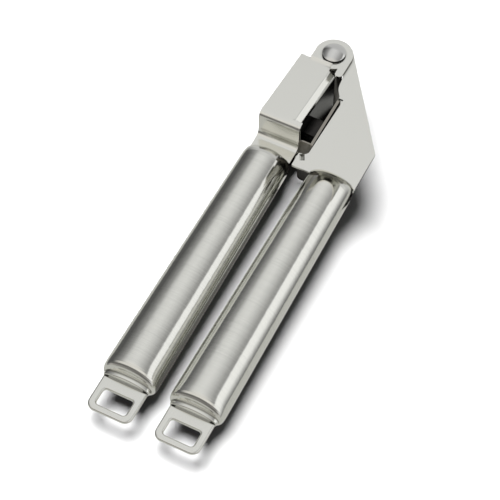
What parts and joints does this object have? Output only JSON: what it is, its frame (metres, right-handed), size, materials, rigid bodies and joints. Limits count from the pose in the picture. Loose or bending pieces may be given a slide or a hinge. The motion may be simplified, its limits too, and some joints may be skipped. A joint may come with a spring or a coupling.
{
  "type": "garlic press",
  "caption": "Hand-held steel garlic press: a folded lever with a plunger closes on a lift-out sieve held between the side plates of the body.",
  "frame": {"origin": "centre of the bounding box in X and Y, at the lowest point of the press lying on its side, which is the lower end of the pivot rivet", "axes": "+Z along the pivot axis, up when the press lies on its side; +Y along the handles towards the pivot; +X from the lever towards the body"},
  "size_m": [0.0552, 0.2004, 0.0363],
  "materials": {
    "handle_satin": "satin",
    "collar_polished": "polished",
    "loop_satin": "satin",
    "filler_steel": "rough",
    "plunger_steel": "satin",
    "rivet_steel": "polished",
    "sieve_steel": "satin",
    "head_sheet": "satin"
  },
  "bodies": {
    "lever": {"lever_channel": "head_sheet", "lever_tube": "handle_satin", "lever_tube_filler": "filler_steel", "lever_collar": "collar_polished", "lever_loop": "loop_satin", "plunger_stem": "plunger_steel", "plunger_plate": "plunger_steel", "plunger_rivets": "plunger_steel"},
    "press_body": {"body_plate_upper": "head_sheet", "body_plate_lower": "head_sheet", "body_bracket_upper": "head_sheet", "body_bracket_lower": "head_sheet", "body_tube": "handle_satin", "body_tube_filler": "filler_steel", "body_collar": "collar_polished", "body_loop": "loop_satin", "pivot_bush": "rivet_steel", "pivot_washers": "rivet_steel", "pivot_rivet": "rivet_steel"},
    "sieve": {"sieve_basket": "sieve_steel", "sieve_grid": "sieve_steel"}
  },
  "joints": [
    {"name": "lever_pivot", "type": "hinge", "parent": "press_body", "child": "lever", "pos_m": [-0.01062, 0.09195, 0.0176], "axis": [0, 0, -1], "range_deg": [-1.8, 150]},
    {"name": "sieve_lift", "type": "slide", "parent": "press_body", "child": "sieve", "axis": [-1, 0, 0], "range_m": [-0.00032, 0.0262]}
  ],
  "couplings": [
    {"joint": "sieve_lift", "follows": "lever_pivot", "m_per_rad": 0.01}
  ]
}
